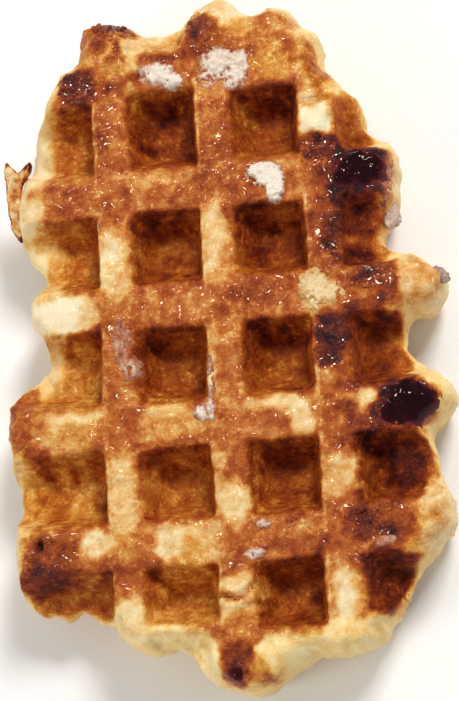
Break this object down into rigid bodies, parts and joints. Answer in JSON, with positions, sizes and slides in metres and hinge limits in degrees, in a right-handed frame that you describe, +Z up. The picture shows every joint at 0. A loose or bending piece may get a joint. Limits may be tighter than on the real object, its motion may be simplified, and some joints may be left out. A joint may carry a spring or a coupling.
{
  "type": "liege waffle",
  "caption": "Thick oblong pearl-sugar waffle with a deep grid of pockets on both faces, a ragged puffed rim, caramelised crests and lumps of melted sugar.",
  "frame": {"origin": "on the table, under the middle of the waffle's box, as it lies flat", "axes": "+X across the waffle, +Y along it towards its far end, +Z up"},
  "size_m": [0.1032, 0.1616, 0.0272],
  "materials": {
    "crust": "baked brioche dough, brown and glossy on the crests, pale and matt on the free rim"
  },
  "bodies": {
    "root": {"waffle": "crust"}
  },
  "joints": []
}
